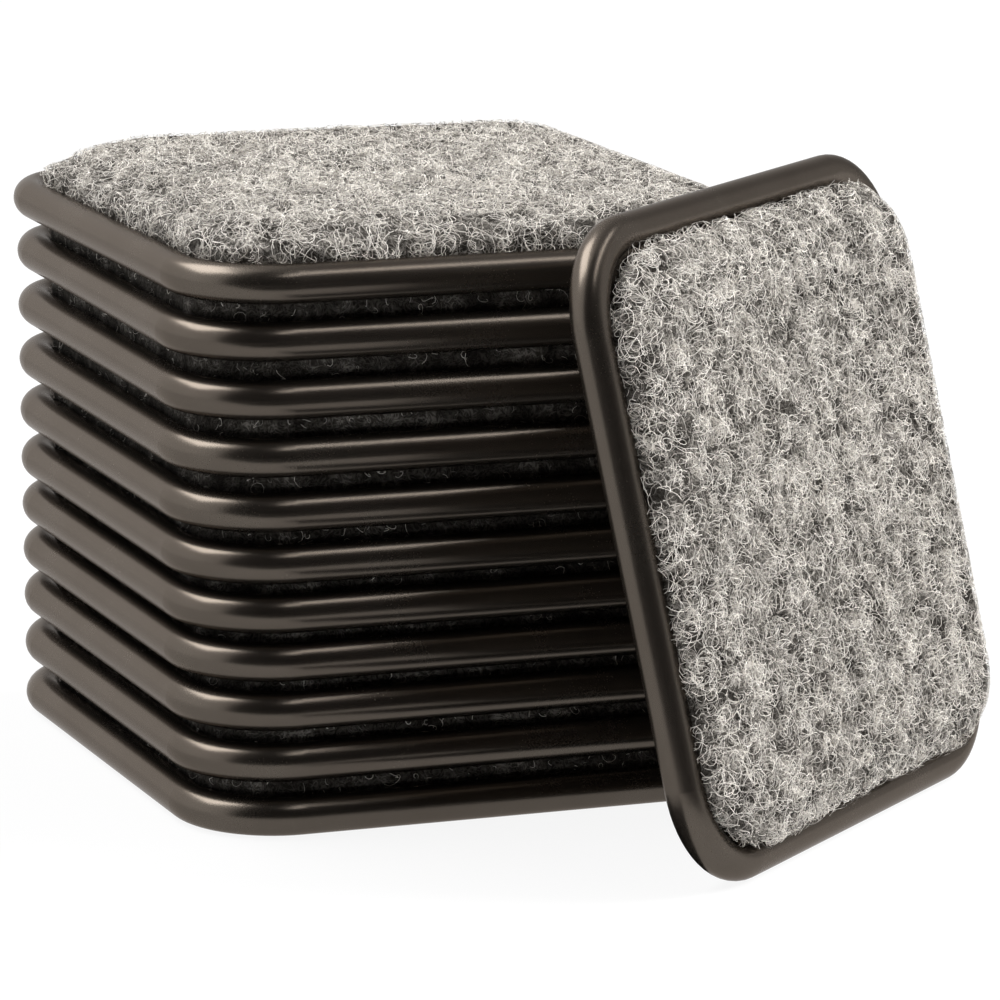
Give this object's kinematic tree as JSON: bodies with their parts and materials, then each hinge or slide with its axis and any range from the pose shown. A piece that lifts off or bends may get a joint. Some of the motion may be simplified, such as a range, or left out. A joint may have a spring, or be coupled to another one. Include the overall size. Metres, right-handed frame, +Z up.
{
  "type": "caster cup set",
  "caption": "Stack of square caster cups, each a shallow moulded dish with a round rim and a grey carpet sole, lying sole up, and another cup that leans on the stack's corner.",
  "frame": {"origin": "on the floor, under the middle of the lowest cup", "axes": "+Z up; the lowest cup's sides run along X and Y, and the leaning cup stands on the corner of the stack between +X and -Y"},
  "size_m": [0.0868, 0.0956, 0.0616],
  "materials": {
    "bronze_plastic": "dark bronze moulded plastic with a satin sheen",
    "clear_glue": "dried film of clear glue",
    "grey_carpet": "heather grey pile of fine curly fibres in tufts"
  },
  "bodies": {
    "cup_01": {"cup_01_shell": "bronze_plastic", "cup_01_glue": "clear_glue", "cup_01_carpet": "grey_carpet"},
    "cup_02": {"cup_02_shell": "bronze_plastic", "cup_02_glue": "clear_glue", "cup_02_carpet": "grey_carpet"},
    "cup_03": {"cup_03_shell": "bronze_plastic", "cup_03_glue": "clear_glue", "cup_03_carpet": "grey_carpet"},
    "cup_04": {"cup_04_shell": "bronze_plastic", "cup_04_glue": "clear_glue", "cup_04_carpet": "grey_carpet"},
    "cup_05": {"cup_05_shell": "bronze_plastic", "cup_05_glue": "clear_glue", "cup_05_carpet": "grey_carpet"},
    "cup_06": {"cup_06_shell": "bronze_plastic", "cup_06_glue": "clear_glue", "cup_06_carpet": "grey_carpet"},
    "cup_07": {"cup_07_shell": "bronze_plastic", "cup_07_glue": "clear_glue", "cup_07_carpet": "grey_carpet"},
    "cup_08": {"cup_08_shell": "bronze_plastic", "cup_08_glue": "clear_glue", "cup_08_carpet": "grey_carpet"},
    "cup_09": {"cup_09_shell": "bronze_plastic", "cup_09_glue": "clear_glue", "cup_09_carpet": "grey_carpet"},
    "cup_10": {"cup_10_shell": "bronze_plastic", "cup_10_glue": "clear_glue", "cup_10_carpet": "grey_carpet"},
    "cup_11": {"cup_11_shell": "bronze_plastic", "cup_11_glue": "clear_glue", "cup_11_carpet": "grey_carpet"},
    "leaning_cup": {"leaning_cup_shell": "bronze_plastic", "leaning_cup_glue": "clear_glue", "leaning_cup_carpet": "grey_carpet"}
  },
  "joints": [
    {"name": "lift_02", "type": "slide", "parent": "cup_01", "child": "cup_02", "axis": [-0.3511, 0.4429, 0.825], "range_m": [0, 0.02]},
    {"name": "lift_03", "type": "slide", "parent": "cup_02", "child": "cup_03", "axis": [-0.3511, 0.4429, 0.825], "range_m": [0, 0.02]},
    {"name": "lift_04", "type": "slide", "parent": "cup_03", "child": "cup_04", "axis": [-0.3511, 0.4429, 0.825], "range_m": [0, 0.02]},
    {"name": "lift_05", "type": "slide", "parent": "cup_04", "child": "cup_05", "axis": [-0.3511, 0.4429, 0.825], "range_m": [0, 0.02]},
    {"name": "lift_06", "type": "slide", "parent": "cup_05", "child": "cup_06", "axis": [-0.3511, 0.4429, 0.825], "range_m": [0, 0.02]},
    {"name": "lift_07", "type": "slide", "parent": "cup_06", "child": "cup_07", "axis": [-0.3511, 0.4429, 0.825], "range_m": [0, 0.02]},
    {"name": "lift_08", "type": "slide", "parent": "cup_07", "child": "cup_08", "axis": [-0.3511, 0.4429, 0.825], "range_m": [0, 0.02]},
    {"name": "lift_09", "type": "slide", "parent": "cup_08", "child": "cup_09", "axis": [-0.3511, 0.4429, 0.825], "range_m": [0, 0.02]},
    {"name": "lift_10", "type": "slide", "parent": "cup_09", "child": "cup_10", "axis": [-0.3511, 0.4429, 0.825], "range_m": [0, 0.02]},
    {"name": "lift_11", "type": "slide", "parent": "cup_10", "child": "cup_11", "axis": [-0.3511, 0.4429, 0.825], "range_m": [0, 0.02]},
    {"name": "tip_over", "type": "hinge", "parent": "cup_01", "child": "leaning_cup", "pos_m": [0.03126, -0.04652, 0.00264], "axis": [0.7837, 0.6211, 0], "range_deg": [0, 104.4]}
  ]
}
